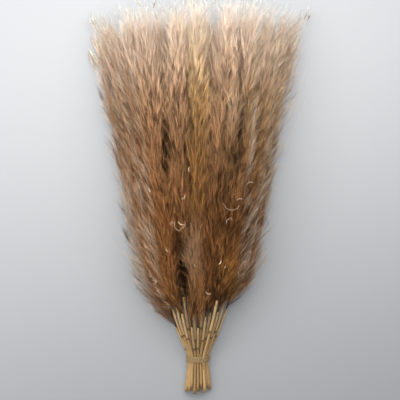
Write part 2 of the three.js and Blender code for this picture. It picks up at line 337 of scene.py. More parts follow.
def straw_shape():
    """A culm with its sheath, along +Z from its cut end: points, triangles and values."""
    deselect()
    plain = list(np.linspace(0, STRAW_LENGTH, 17))
    near = [JOINT_AT + k * JOINT_HEIGHT for k in (-1.6, -0.8, -0.3, 0.3, 0.8, 1.6)]
    heights = sorted(plain + near)
    straw = drawn_out([(z, straw_radius(z)) for z in heights])
    bpy.ops.object.mode_set(mode="EDIT")
    choose_faces(straw, lambda middle, normal: middle.z < 1e-5 and abs(normal.z) > 0.9)
    bpy.ops.mesh.inset(thickness=RIM)
    bpy.ops.transform.translate(value=(0, 0, PITH_DEPTH))
    bpy.ops.object.mode_set(mode="OBJECT")
    straw_points = len(straw.data.vertices)

    # the sheath grows from the joint and ends in a slanted mouth
    deselect()
    heights = [z for z in heights if JOINT_AT + 0.3 * JOINT_HEIGHT <= z < SHEATH_MOUTH - 0.008]
    sheath = drawn_out([(z, straw_radius(z) + SHEATH_THICKNESS) for z in heights + [SHEATH_MOUTH]])
    bpy.ops.object.mode_set(mode="EDIT")
    choose_faces(sheath, lambda middle, normal: middle.z > SHEATH_MOUTH - 1e-5 and normal.z > 0.9)
    bpy.ops.transform.rotate(value=MOUTH_SLANT, orient_axis="X", center_override=(0, 0, SHEATH_MOUTH))
    bpy.ops.transform.resize(
        value=(1, 1 / math.cos(MOUTH_SLANT), 1), center_override=(0, 0, SHEATH_MOUTH))
    bpy.ops.object.mode_set(mode="OBJECT")

    straw.select_set(True)
    sheath.select_set(True)
    bpy.context.view_layer.objects.active = straw
    bpy.ops.object.join()
    bpy.ops.object.mode_set(mode="EDIT")
    bpy.ops.mesh.select_all(action="SELECT")
    bpy.ops.mesh.quads_convert_to_tris()
    bpy.ops.mesh.normals_make_consistent(inside=False)
    bpy.ops.object.mode_set(mode="OBJECT")
    points = np.array([v.co for v in straw.data.vertices])
    triangles = np.array([p.vertices for p in straw.data.polygons])
    bpy.data.objects.remove(straw)
    from_axis = np.hypot(points[:, 0], points[:, 1])
    pith = (points[:, 2] < 0.003) & (from_axis < STRAW_RADIUS - 0.5 * RIM)
    joint = np.exp(-((points[:, 2] - JOINT_AT) / JOINT_HEIGHT) ** 2)
    is_sheath = np.arange(len(points)) >= straw_points
    return points, triangles, {"pith": pith * 1.0, "joint": joint, "sheath": is_sheath * 1.0}


def fibre_streaks():
    """A node group: streaks that run along Z of the place it is given, from 0 to 1."""
    group = bpy.data.node_groups.new("fibre_streaks", "ShaderNodeTree")
    group.interface.new_socket("Place", in_out="INPUT", socket_type="NodeSocketVector")
    group.interface.new_socket("Fineness", in_out="INPUT", socket_type="NodeSocketFloat")
    group.interface.new_socket("Along", in_out="INPUT", socket_type="NodeSocketFloat")
    group.interface.new_socket("Streaks", in_out="OUTPUT", socket_type="NodeSocketFloat")
    given = added(group, "NodeGroupInput")
    result = added(group, "NodeGroupOutput")
    scale = added(group, "ShaderNodeCombineXYZ")
    link(group, given.outputs["Fineness"], scale.inputs["X"])
    link(group, given.outputs["Fineness"], scale.inputs["Y"])
    link(group, given.outputs["Along"], scale.inputs["Z"])
    stretched = added(group, "ShaderNodeVectorMath", operation="MULTIPLY")
    link(group, given.outputs["Place"], stretched.inputs[0])
    link(group, scale.outputs[0], stretched.inputs[1])
    noise = added(group, "ShaderNodeTexNoise")
    noise.inputs["Scale"].default_value = 1.0
    noise.inputs["Detail"].default_value = 4.0
    link(group, stretched.outputs[0], noise.inputs["Vector"])
    link(group, mapped(group, noise.outputs["Fac"], 0.25, 0.75), result.inputs["Streaks"])
    return group


streak_group = fibre_streaks()


def streaks(tree, fineness, along):
    """Fibre streaks along the piece's own length, read from its attribute straight."""
    place = added(tree, "ShaderNodeAttribute", attribute_name="straight")
    group = added(tree, "ShaderNodeGroup", node_tree=streak_group)
    link(tree, place.outputs["Vector"], group.inputs["Place"])
    group.inputs["Fineness"].default_value = fineness
    group.inputs["Along"].default_value = along
    return group.outputs["Streaks"]


def ramp(tree, value, stops):
    """A colour ramp over value, with its stops: position and colour."""
    colours = added(tree, "ShaderNodeValToRGB")
    for k, (at, colour) in enumerate(stops):
        stop = colours.color_ramp.elements[k] if k < 2 else colours.color_ramp.elements.new(at)
        stop.position = at
        stop.color = (*colour, 1)
    link(tree, value, colours.inputs["Fac"])
    return colours.outputs["Color"]


def washed(tree, colour, over, share):
    """The colour with another over it, by a share that changes over the surface."""
    mix = added(tree, "ShaderNodeMix", data_type="RGBA")
    link(tree, share, mix.inputs[0])
    link(tree, colour, mix.inputs[6])
    mix.inputs[7].default_value = (*over, 1)
    return mix.outputs[2]


def scaled(tree, colour, share):
    """The colour times a share that changes over the surface."""
    node = added(tree, "ShaderNodeVectorMath", operation="SCALE")
    link(tree, colour, node.inputs[0])
    link(tree, share, node.inputs["Scale"])
    return node.outputs[0]


def toned(tree, colour, amount):
    """The colour made lighter or darker by the attribute tone."""
    return scaled(tree, colour, worked_out(tree, "MULTIPLY_ADD", read(tree, "tone"), amount, 1.0))


def raised(tree, shader, height, distance):
    """Bumps from a height, on the shader's normal."""
    bump = added(tree, "ShaderNodeBump")
    bump.inputs["Strength"].default_value = 0.6
    bump.inputs["Distance"].default_value = distance
    link(tree, height, bump.inputs["Height"])
    link(tree, bump.outputs[0], shader.inputs["Normal"])


golden_straw = bpy.data.materials.new("golden_straw")
tree, shader = shader_of(golden_straw)
fibres = streaks(tree, 1500.0, 45.0)
colour = ramp(tree, fibres, (
    (0.0, (0.150, 0.072, 0.022)), (0.45, (0.330, 0.190, 0.070)), (1.0, (0.520, 0.350, 0.150))))
for key, over, strength in (("sheath", (0.400, 0.270, 0.130), 0.55),
                            ("joint", (0.075, 0.030, 0.010), 0.9), ("pith", (0.700, 0.600, 0.420), 0.9)):
    colour = washed(tree, colour, over, worked_out(tree, "MULTIPLY", read(tree, key), strength))
colour = toned(tree, colour, 0.22)
link(tree, colour, shader.inputs["Base Color"])
link(tree, mapped(tree, fibres, 0.0, 1.0, 0.36, 0.58), shader.inputs["Roughness"])
shader.inputs["Specular IOR Level"].default_value = 0.45
raised(tree, shader, fibres, 0.0003)

pattern, pattern_triangles, pattern_values = straw_shape()
for i in stem_number:
    turn = 2 * math.pi * draw(i, 9)
    stout = 0.94 + 0.06 * draw(i, 10)
    y = cut_of[i] + pattern[:, 2] / STRAW_LENGTH * (start_of[i] - cut_of[i])
    x, z = middles(y)
    points = np.stack([
        x[:, i] + stout * (pattern[:, 0] * math.cos(turn) - pattern[:, 1] * math.sin(turn)), y,
        z[:, i] - stout * (pattern[:, 0] * math.sin(turn) + pattern[:, 1] * math.cos(turn))], -1)
    values = dict(pattern_values)
    values["straight"] = pattern + [0.1 * i, 0, 0]
    values["tone"] = np.full(len(pattern), 2 * draw(i, 11) - 1)
    piece = piece_of(f"straw_{i + 1:02d}", points, pattern_triangles, golden_straw, values)
    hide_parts(f"culm_{i + 1:02d}")

# ---- Plumes ---------------------------------------------------------------------------
# The feathery heads: a slim stalk with fine branches swept up on all sides, and on every
# branch small husks with long silky hairs. They press on each other and on the floor, so
# each fills the room that its neighbours leave.

PLUME_RADIUS = 0.053
PLUME_BASE = 0.50
PLUME_FILL = 0.09
PLUME_TAPER = 0.12
PLUME_NARROWS = 0.70  # from this share of its length on
PLUME_TIP = 0.30  # the tip's radius as a share of the full one
PLUME_GAP = 0.0011
EDGE_SPREAD = 0.30
EDGE_SPREAD_FROM = 0.5
EDGE_SPREAD_FULL = 0.9
LOW_SPREAD = 0.32  # how much further the outermost on the left spread low down
LOW_SPREAD_TO = 0.30
SPRAY_TIP_OUT = 0.97
STALK_RADIUS = 0.0024
STALK_TIP_RADIUS = 0.0005
STALK_SHARE = 0.95
BRANCH_FULLNESS = (0.62, 0.36)  # at least, towards the tip: between others, and outermost
STALK_SIDES = 6
STALK_RINGS = 40
STALK_TONE = -0.6
STALK_ON_MAP = (0.975, 1.0)  # its strip of the UV map, and the branches'
BRANCHES_ON_MAP = (0.91, 0.97)
TUFTS_ON_MAP = 0.90  # from 0 up to this
BRANCHES = (230, 310, 520, 860)  # on a plume of each layer
EDGE_BRANCHES = 740  # on the outermost
BRANCH_LENGTH = 0.160
BRANCH_STEPS = 13
BRANCH_RADIUS = 0.0003
BRANCH_ROOTS = (0.80, 0.15)  # of the stalk: for an even spread, and for crowding at the tip
ROOM_AHEAD = 0.04  # how far past its root a branch has its room
ROOM_FAVOUR = (1.3, 2.0)  # how much they grow where there is room: between others, and outermost
LOW_BRANCH = 0.62  # the lowest branches' length as a share
BRANCH_VARIES = (0.55, 1.2)
BRANCH_ENDS = (-0.014, 0.007)  # how unevenly they end
BRANCH_LEAST = 0.03
BRANCH_FILL = 1.04  # how far out the longest of them reach, as a share of the room
BRANCH_INNER = 0.72  # how much less the innermost do
STRAY_RARITY = 5
BRANCH_SWAY = 0.5
BRANCH_BOW = 1.2  # how steeply a branch leaves its stalk
BOW_UP = 0.9  # how much more steeply those above and below it do
BOW_VARIES = (-0.15, 0.3)
BRANCH_LOOSE = (0.008, 0.002, 0.0020)
BRANCH_WAVE = 0.0022
WAVES = (0.5, 1.3)  # on a branch
BRANCH_TONES = 0.95  # how much branches differ in tone, and in warmth
BRANCH_WARMTHS = 0.25
GOLDEN_SHARE = 0.618034  # of the way round, from one branch to the next
TUFT_KINDS = 6
TUFT_HAIRS = 5
TUFTS_ON_BRANCH = 6
TUFT_PITCH = 0.0225  # the least room for a tuft on its branch
HUSK_RADIUS = 0.0004
HUSK_LENGTH = 0.0055
TUFT_SIZES = (0.8, 1.25)
TUFT_SHIFT = 1.1  # how far it may sit from its even place, in steps of the branch
TUFT_TURN = 0.10  # how far its way may differ from the branch's
THINNED_BY = 0.72  # how many fewer there are at the very tips, as a share
TUFT_TONES = 0.4  # how much tufts differ in tone, and in warmth
TUFT_WARMTHS = 0.15
HAIR_LENGTHS = (0.029, 0.070)
HAIR_WIDTHS = (0.00015, 0.00028)  # half of it
SPREADING_HAIRS = 3  # of a tuft's, and how far these and the others lean out, in degrees
SPREADING_LEAN = (1.5, 6.5)
CLOSE_LEAN = (0.3, 2.5)
CORNER_ACROSS = np.array([0.5, 0.1, 0.9, 0.5])  # a hair's corners in its cell of the UV map
CORNER_ALONG = np.array([0.02, 0.35, 0.45, 0.98])
PARTINGS = (  # where the plumes lie apart: from and to on the bundle, and half the width
    ((-0.086, 0.500), (-0.095, 0.710), 0.018),
    ((0.094, 0.500), (0.130, 0.790), 0.017),
    ((0.116, 0.740), (0.120, 0.900), 0.008),
    ((-0.034, 0.140), (-0.050, 0.385), 0.023),
    ((-0.030, 0.120), (-0.038, 0.300), 0.021),
    ((-0.180, 0.730), (-0.192, 0.850), 0.007),
    ((-0.093, 0.800), (-0.104, 0.960), 0.005),
)
PARTING_LEVEL = 0.022  # how deep they go
STRAYS = {  # long branches that stand apart: stem, root, tip and how far they bow
    0: (((-0.165, 0.405), (-0.258, 0.478), 0.016), ((-0.160, 0.415), (-0.242, 0.447), -0.006),
        ((-0.165, 0.250), (-0.280, 0.374), -0.022), ((-0.255, 0.800), (-0.300, 0.930), 0.004)),
    8: (((-0.160, 0.250), (-0.262, 0.352), -0.014), ((-0.240, 0.830), (-0.322, 1.010), 0.006)),
    7: (((0.240, 0.600), (0.328, 0.792), -0.006), ((0.262, 0.700), (0.336, 0.850), -0.006),
        ((0.270, 0.820), (0.322, 1.015), 0.004)),
    14: (((0.240, 0.660), (0.322, 0.880), -0.008), ((0.262, 0.800), (0.316, 0.985), 0.0),
         ((0.160, 0.290), (0.180, 0.400), -0.008)),
}
STRAY_THICKNESS = 2.0
STRAY_TONE = -0.3
PATCHES_AND_GAP_SHADE = (  # place, half the width and length, how much lighter, more to rust, and greyer; the narrow dark ones along the partings are painted shade in the gaps
    ((0.094, 0.726), 0.012, 0.060, 3.6, 0.0, 0.90),
    ((-0.008, 0.302), 0.018, 0.080, 1.3, -0.4, 0.45),
    ((-0.132, 0.350), 0.030, 0.120, 0.55, -1.3, 0.0),
    ((0.028, 0.330), 0.014, 0.090, -0.5, 0.7, 0.0),
    ((0.092, 0.385), 0.024, 0.065, -1.6, 0.9, 0.0),
    ((0.135, 0.425), 0.022, 0.090, -0.7, 0.3, 0.0),
    ((0.017, 0.465), 0.022, 0.055, -0.9, 0.1, 0.0),
    ((0.176, 0.506), 0.035, 0.200, 0.15, -0.7, 0.05),
    ((0.075, 0.270), 0.025, 0.060, 0.2, -0.7, 0.0),
    ((0.063, 0.680), 0.018, 0.090, 0.7, 0.0, 0.08),
    ((0.190, 0.765), 0.045, 0.090, 1.3, 0.0, 0.10),
    ((-0.096, 0.885), 0.006, 0.060, -2.6, 0.3, 0.0),
    ((-0.160, 0.905), 0.060, 0.050, -1.1, 0.0, 0.0),
    ((0.020, 0.830), 0.008, 0.030, -2.2, 0.5, 0.0),
    ((0.118, 0.830), 0.008, 0.045, -2.2, 0.9, 0.0),
    ((0.104, 0.565), 0.007, 0.050, -3.4, 0.6, 0.0),
    ((0.118, 0.670), 0.009, 0.055, -5.0, 0.6, 0.0),
    ((-0.089, 0.630), 0.009, 0.055, -5.0, 0.3, 0.0),
    ((0.236, 0.825), 0.014, 0.032, -1.5, 0.8, 0.0),
    ((-0.038, 0.270), 0.015, 0.080, -1.7, 0.3, 0.0),
    ((-0.187, 0.795), 0.007, 0.040, -1.8, 0.2, 0.0),
    ((0.052, 0.890), 0.009, 0.070, 1.6, 0.0, 0.2),
    ((-0.014, 0.870), 0.012, 0.080, 2.2, -0.2, 0.1),
    ((0.027, 0.675), 0.013, 0.090, 0.7, 0.3, 0.1),
)
PRESSED_BACK = (0.9, 0.93, 0.62)  # the share of the spare room that hair may take, each way
GOLDEN_PLUME = 23
GOLDEN_FROM = 0.35
PLUME_TINTS = {  # from olive, -1, to rust, 1, and from dark to light
    0: (0.1, 0.5), 8: (0.4, 0.5), 15: (0.5, 0.3), 21: (0.3, 0.1), 16: (0.35, -0.1), 22: (0.0, 0.1),
    GOLDEN_PLUME: (-1.1, 0.2), 24: (0.2, -0.1), 25: (-0.3, -0.1), 20: (-0.2, -0.3), 14: (-0.5, -0.1),
    7: (-0.3, 0.0),
}

rng = np.random.default_rng(20)


def fullness(t):
    """How full an unpressed plume is at share t of its length."""
    c = np.clip(t, 0, 1)
    filled = PLUME_BASE + (1 - PLUME_BASE) * smooth(c / PLUME_FILL)
    narrowed = 1 - (1 - PLUME_TIP) * smooth((c - PLUME_NARROWS) / (1 - PLUME_NARROWS))
    return filled * (1 - PLUME_TAPER * c) * narrowed


def reaches(i, y, angle, edge_spread=0.0, least=0.0):
    """How far plume i reaches from its middle at y, each way, before something stops it."""
    x, z = middles(y)
    dx, dz = np.cos(angle), np.sin(angle)
    t = (y - start_of[i]) / (tip_of[i] - start_of[i])
    outward = np.maximum(0, dx * np.sign(across_of[i])) * at_edge[i]
    spread = edge_spread * smooth((t - EDGE_SPREAD_FROM) / (EDGE_SPREAD_FULL - EDGE_SPREAD_FROM))
    if across_of[i] < 0:
        spread = spread + LOW_SPREAD * (1 - smooth((t - LOW_SPREAD_TO) / 0.2))
    full = np.where(t > PLUME_NARROWS, np.maximum(fullness(t), least), fullness(t))
    reach = PLUME_RADIUS * full * (1 + outward * spread)
    to_floor = z[..., i] / (SPRAY_TIP_OUT * np.maximum(1e-9, -dz))
    reach = np.where(dz < 0, np.minimum(reach, to_floor), reach)
    away_x, away_z = x - x[..., i, None], z - z[..., i, None]
    distance = np.hypot(away_x, away_z)
    distance[..., i] = 1
    towards = (dx[..., None] * away_x + dz[..., None] * away_z) / distance
    towards[..., i] = 0
    limit = np.where(towards > 1e-6, (distance / 2 - PLUME_GAP) / np.maximum(towards, 1e-6), 9)
    return np.minimum(reach, limit.min(-1))


def roomy_angles(i, y, turns, favour):
    """A direction for each branch of plume i: turns spread them, more where it has more room."""
    tries = np.linspace(0, 2 * math.pi, 49)
    room = reaches(i, y[:, None] + 0 * tries, tries + 0 * y[:, None]) ** favour
    total = np.cumsum(room, axis=1)
    total = (total - total[:, :1]) / (total[:, -1:] - total[:, :1])
    wanted = turns - np.floor(turns)
    return np.array([np.interp(w, row, tries) for w, row in zip(wanted, total)])


def parted(path):
    """The points of path moved away from the partings, as combed hair would be."""
    path = path.copy()
    for (x0, y0), (x1, y1), full_width in PARTINGS:
        width = full_width * rng.uniform(0.3, 1.2, (len(path), 1))
        share = (path[..., 1] - y0) / (y1 - y0)
        inside = smooth(share / 0.3) * smooth((1 - share) / 0.3)
        inside = inside * smooth((path[..., 2] - PARTING_LEVEL) / 0.03)
        off = path[..., 0] - (x0 + (x1 - x0) * share)
        path[..., 0] += np.sign(off) * inside * width * np.exp(-((off / (1.7 * width)) ** 2))
    return path


def tuft_shape(kind):
    """A husk with silky hairs, along +Z from the origin: points, triangles and values."""
    made = np.random.default_rng(100 + kind)
    deselect()
    shapes = []
    bpy.ops.mesh.primitive_cone_add(
        vertices=3, radius1=HUSK_RADIUS, depth=HUSK_LENGTH, location=(0, 0, HUSK_LENGTH / 2))
    husk = bpy.context.object
    shapes.append(husk)
    for h in range(TUFT_HAIRS):
        length = made.uniform(*HAIR_LENGTHS)
        tilt = math.radians(made.uniform(*(SPREADING_LEAN if h < SPREADING_HAIRS else CLOSE_LEAN)))
        turn = 2 * math.pi * (h + made.uniform(-0.3, 0.3)) / TUFT_HAIRS
        out = math.sin(tilt)
        way = Vector((out * math.cos(turn), out * math.sin(turn), math.cos(tilt)))
        root = Vector((0, 0, made.uniform(0, 0.006)))
        width = made.uniform(*HAIR_WIDTHS)
        bpy.ops.mesh.primitive_cone_add(
            vertices=3, radius1=width, depth=length,
            location=root + way * length / 2, rotation=way.to_track_quat("Z", "Y").to_euler())
        hair = bpy.context.object
        # one corner of its foot goes to the root, and the others up to where it is widest
        corners = hair.data.vertices
        corners[0].co.x, corners[0].co.y = 0, 0
        corners[1].co = (width, 0, -0.12 * length)
        corners[2].co = (-width, 0.4 * width, 0.12 * length)
        shapes.append(hair)
    deselect()
    for shape in shapes:
        shape.select_set(True)
    bpy.context.view_layer.objects.active = husk
    bpy.ops.object.join()
    bpy.ops.object.transform_apply(location=True, rotation=True)
    bpy.ops.object.mode_set(mode="EDIT")
    bpy.ops.mesh.select_all(action="SELECT")
    bpy.ops.mesh.quads_convert_to_tris()
    bpy.ops.mesh.normals_make_consistent(inside=False)
    bpy.ops.object.mode_set(mode="OBJECT")
    points = np.array([v.co for v in husk.data.vertices])
    triangles = np.array([p.vertices for p in husk.data.polygons])
    bpy.data.objects.remove(husk)
    along = np.clip(points[:, 2] / HAIR_LENGTHS[1], 0, 1)
    along[:4] = 0  # the husk gets none of the painted glow of the hair ends
    hair_tone = np.repeat(made.normal(0, 1.0, TUFT_HAIRS + 1), 4)
    return points, triangles, along, hair_tone


tufts = [tuft_shape(kind) for kind in range(TUFT_KINDS)]


def unit(ways):
    """The ways, each made one long."""
    return ways / np.linalg.norm(ways, axis=-1, keepdims=True)


def tube(path, radii, sides):
    """Points and triangles of a closed tube along each path of paths: (paths, steps, 3)."""
    paths, steps, _ = path.shape
    tangent = unit(np.gradient(path, axis=1))
    side = unit(np.cross(tangent, np.broadcast_to([0.37, 0.11, 0.92], tangent.shape)))
    up = np.cross(tangent, side)
    angle = 2 * math.pi * np.arange(sides) / sides
    ring = (side[:, :, None] * np.cos(angle)[:, None] + up[:, :, None] * np.sin(angle)[:, None])
    points = path[:, :, None] + ring * radii[..., None, None]
    a = np.arange(steps - 1)[:, None] * sides + np.arange(sides)
    b = np.arange(steps - 1)[:, None] * sides + (np.arange(sides) + 1) % sides
    walls = np.concatenate([np.stack([a, b, b + sides], -1).reshape(-1, 3),
                            np.stack([a, b + sides, a + sides], -1).reshape(-1, 3)])
    fan = np.arange(1, sides - 1)
    low = np.stack([0 * fan, fan + 1, fan], -1)
    high = np.stack([0 * fan, fan, fan + 1], -1) + (steps - 1) * sides
    one = np.concatenate([walls, low, high])
    triangles = one + (np.arange(paths) * steps * sides)[:, None, None]
    return points.reshape(-1, 3), triangles.reshape(-1, 3)


def warm_share(i, y):
    """How much of plume i's own hue its hair has at y: the tips are cream on all of them."""
    share = 1 - 0.9 * smooth((y - 0.68) / 0.26)
    if i == GOLDEN_PLUME:
        share = share * smooth((y - GOLDEN_FROM) / 0.08)
    return share


def patches_and_gap_shade_at(x, y):
    """How much lighter, more to rust and greyer the hair is at x and y, with painted shade along the
    partings.
    """
    change = np.zeros((3, *x.shape))
    for (at_x, at_y), across, along, *amounts in PATCHES_AND_GAP_SHADE:
        near = np.exp(-(((x - at_x) / across) ** 2 + ((y - at_y) / along) ** 2))
        change += np.multiply.outer(amounts, near)
    return change


def kept_in(points, share):
    """The points with what stands out furthest pressed back, and none below the floor."""
    low, high = (np.array(corner) for corner in cad_box)
    spare = (0.03 * (high - low) + 0.010) * PRESSED_BACK * share
    over, under = np.maximum(points - high, 0), np.maximum(low - points, 0)
    pressed = points - over + spare * (1 - np.exp(-over / spare))
    pressed[..., :2] += (under - spare * (1 - np.exp(-under / spare)))[..., :2]
    pressed[..., 2] = np.maximum(pressed[..., 2], 0.0004)
    return pressed


def branch_paths(i):
    """The branches of plume i from their roots to their tips: (branches, steps, 3)."""
    n = EDGE_BRANCHES if at_edge[i] else BRANCHES[layer_of[i]]
    even = (np.arange(n) + rng.uniform(0, 1, n)) / n
    share = BRANCH_ROOTS[0] * even + BRANCH_ROOTS[1] * even**3
    start, tip = start_of[i], tip_of[i]
    root = start + (tip - start) * share
    turns = np.arange(n) * GOLDEN_SHARE + draw(i, 8)
    angle = roomy_angles(i, root + ROOM_AHEAD, turns, ROOM_FAVOUR[int(at_edge[i])])
    left = tip - root
    grown = LOW_BRANCH + (1 - LOW_BRANCH) * smooth(share / 0.25)
    wanted = BRANCH_LENGTH * grown * rng.uniform(*BRANCH_VARIES, n)
    run = left * (1 - np.exp(-wanted / left)) + rng.uniform(*BRANCH_ENDS, n)
    run = np.maximum(run, BRANCH_LEAST)
    fill = BRANCH_FILL - BRANCH_INNER * rng.random(n) ** 1.3
    sway = rng.normal(0, BRANCH_SWAY, n)
    s = np.linspace(0, 1, BRANCH_STEPS)
    y = root[:, None] + run[:, None] * s
    turned = angle[:, None] + sway[:, None] * s
    stray = EDGE_SPREAD * rng.random(n) ** STRAY_RARITY
    room = reaches(i, y, turned, stray[:, None], BRANCH_FULLNESS[int(at_edge[i])])
    last = 0.5 * (room[:, -1] + room[:, BRANCH_STEPS // 2])
    bow = BRANCH_BOW + BOW_UP * np.abs(np.sin(angle)) + rng.uniform(*BOW_VARIES, n)
    out = (fill * last)[:, None] * (1 - (1 - s) ** bow[:, None])
    out = np.minimum(out, 1.02 * room)
    x, z = middles(y)
    path = np.stack([x[..., i] + out * np.cos(turned), y, z[..., i] + out * np.sin(turned)], -1)
    loose = np.clip(rng.normal(0, 1, (n, 3)), -2, 2) * BRANCH_LOOSE
    loose = loose * (0.5 + 0.5 * smooth((root - 0.35) / 0.4))[:, None]
    path = path + loose[:, None] * (s**2.6)[:, None]
    wave = 2 * math.pi * (rng.uniform(*WAVES, n)[:, None] * s + rng.random(n)[:, None])
    waviness = BRANCH_WAVE * (1 - 0.6 * smooth((root - 0.5) / 0.3))[:, None]
    path[..., 0] += waviness * np.sin(wave) * smooth(3 * s)
    path = parted(path)
    apart = [path]
    for (root_x, root_y), (tip_x, tip_y), bow_out in STRAYS.get(i, ()):
        root_z = middles(root_y)[1][i]
        foot = np.array([root_x, root_y, root_z + 0.008])
        end = np.array([tip_x, tip_y, root_z + 0.016])
        way = end - foot
        bend = foot + way / 2 + bow_out * np.array([-way[1], way[0], 0]) / np.linalg.norm(way)
        t = s[:, None]
        apart.append(((1 - t) ** 2 * foot + 2 * t * (1 - t) * bend + t**2 * end)[None])
    path = kept_in(np.concatenate(apart), 0.35)
    thickness = np.where(np.arange(len(path)) < n, 1.0, STRAY_THICKNESS)
    return path, np.concatenate([run, np.zeros(len(path) - n)]), thickness


def strips(paths, steps, sides, low, high):
    """UV places for the points of tubes: each tube a thin strip, between low and high."""
    path, step, side = np.indices((paths, steps, sides))
    across = low + (high - low) * (path + 0.9 * side / sides) / paths
    return np.stack([step / (steps - 1), across], -1).reshape(-1, 2)


def feathers(i):
    """Plume i: points, triangles, its attributes and UV places."""
    length = tip_of[i] - start_of[i]
    points, triangles, on_map = [], [], []
    # pale: how far along its hair each point lies, for the painted glow of the hair ends
    looks = {"tone": [], "pale": [], "warm": [], "faded": []}
    count = 0

    def add(new_points, new_triangles, *new_looks):
        nonlocal count
        points.append(new_points)
        triangles.append(new_triangles + count)
        for kept, new in zip(looks.values(), new_looks):
            kept.append(np.broadcast_to(new, len(new_points)))
        on_map.append(new_looks[-1])
        count += len(new_points)

    plume_warm, plume_tone = PLUME_TINTS.get(i, (rng.normal(0, 0.12), rng.normal(0, 0.3)))
    # the stalk
    y = np.linspace(start_of[i], start_of[i] + STALK_SHARE * length, STALK_RINGS)
    x, z = middles(y)
    line = np.stack([x[:, i], y, z[:, i]], -1)
    radii = np.linspace(STALK_RADIUS, STALK_TIP_RADIUS, STALK_RINGS)
    add(*tube(line[None], radii[None], STALK_SIDES), STALK_TONE, 0.0, plume_warm, 0.0,
        strips(1, STALK_RINGS, STALK_SIDES, *STALK_ON_MAP))

    # the branches
    path, run, thickness = branch_paths(i)
    n = len(path)
    radii = np.linspace(BRANCH_RADIUS, 0.4 * BRANCH_RADIUS, BRANCH_STEPS) * thickness[:, None]
    middle = path[:, BRANCH_STEPS // 2]
    branch_tone = plume_tone + rng.normal(0, BRANCH_TONES, n)
    branch_tone[thickness > 1] = STRAY_TONE
    branch_warm = plume_warm * warm_share(i, middle[:, 1]) + rng.normal(0, BRANCH_WARMTHS, n)
    steps = slice(None, None, 3)
    new_points, new_triangles = tube(path[:, steps], radii[:, steps], 3)
    each = len(new_points) // n
    lighter, redder, greyer = patches_and_gap_shade_at(middle[:, 0], middle[:, 1])
    add(new_points, new_triangles, np.repeat(branch_tone + lighter, each), 0.1,
        np.repeat(branch_warm + redder, each), np.repeat(greyer, each),
        strips(n, each // 3, 3, *BRANCHES_ON_MAP))

    # the tufts on them
    tangent = unit(np.gradient(path, axis=1))
    spots = np.linspace(0.3, BRANCH_STEPS - 1.02, TUFTS_ON_BRANCH)
    spots = spots + rng.uniform(-TUFT_SHIFT, TUFT_SHIFT, (n, TUFTS_ON_BRANCH))
    spots = np.clip(spots, 0, BRANCH_STEPS - 1.001)
    low = spots.astype(int)
    part = (spots - low)[..., None]
    rows = np.arange(n)[:, None]
    at = path[rows, low] * (1 - part) + path[rows, low + 1] * part
    way = tangent[rows, low] * (1 - part) + tangent[rows, low + 1] * part
    straighter = 1.2 - 0.8 * smooth((at[..., 1:2] - 0.75) / 0.25)
    way = unit(way + rng.normal(0, TUFT_TURN, way.shape) * straighter)
    side = unit(np.cross(way, rng.normal(0, 1, way.shape)))
    up = np.cross(way, side)
    size = rng.uniform(*TUFT_SIZES, low.shape) * (1 - 0.4 * smooth((at[..., 1] - 0.86) / 0.12))
    kinds = rng.integers(0, TUFT_KINDS, low.shape)
    lighter, redder, greyer = patches_and_gap_shade_at(at[..., 0], at[..., 1] + 0.012)
    tuft_tone = branch_tone[:, None] + lighter + rng.normal(0, TUFT_TONES, low.shape)
    tuft_warm = branch_warm[:, None] + redder + rng.normal(0, TUFT_WARMTHS, low.shape)
    thinned = 1 - THINNED_BY * smooth((at[..., 1] - 0.91) / 0.13)
    present = rng.random(low.shape) < thinned * (run / (TUFTS_ON_BRANCH * TUFT_PITCH))[:, None]
    rows_of_cells = math.ceil(math.sqrt(present.sum()))
    hair, corner = np.divmod(np.arange(4 * (TUFT_HAIRS + 1)), 4)
    in_cell = np.stack([(hair + CORNER_ACROSS[corner]) / (TUFT_HAIRS + 1), CORNER_ALONG[corner]], -1)
    numbered = 0
    for kind, (shape, shape_triangles, along, hair_tone) in enumerate(tufts):
        chosen = (kinds == kind) & present
        made = int(chosen.sum())
        row, column = np.divmod(numbered + np.arange(made), rows_of_cells)
        cells = np.stack([column, row], -1)[:, None] + 0.01 + 0.98 * in_cell
        numbered += made
        frame_of = np.stack([side[chosen], up[chosen], way[chosen]], 1) * size[chosen][:, None, None]
        placed = at[chosen][:, None] + shape @ frame_of
        offsets = (np.arange(made) * len(shape))[:, None, None]
        add(placed.reshape(-1, 3), (shape_triangles + offsets).reshape(-1, 3),
            (tuft_tone[chosen][:, None] + hair_tone).ravel(), np.tile(along, made),
            np.repeat(tuft_warm[chosen], len(shape)), np.repeat(greyer[chosen], len(shape)),
            cells.reshape(-1, 2) / rows_of_cells * [1, TUFTS_ON_MAP])

    points = kept_in(np.concatenate(points), 1.0)
    x, z = middles(points[:, 1])
    away = np.hypot(points[:, :1] - x, points[:, 2:] - z)
    own = away[:, i].copy()
    away[:, i] = 9
    reach = PLUME_RADIUS * np.maximum(0.4, fullness((points[:, 1] - start_of[i]) / length))
    outward = np.sign(across_of[i]) * (points[:, 0] - x[:, i])
    values = {key: np.concatenate(parts) for key, parts in looks.items()}
    # outer and pressed feed the painted shade near the stalk and in the creases between plumes
    values["outer"] = np.clip(own / reach, 0, 1.4)
    values["pressed"] = own / (own + away.min(1))
    # free feeds the painted glow of the hair that stands out at the sides
    values["free"] = at_edge[i] * np.clip(outward / reach, 0, 1.4)
    return points, np.concatenate(triangles), values, np.concatenate(on_map)


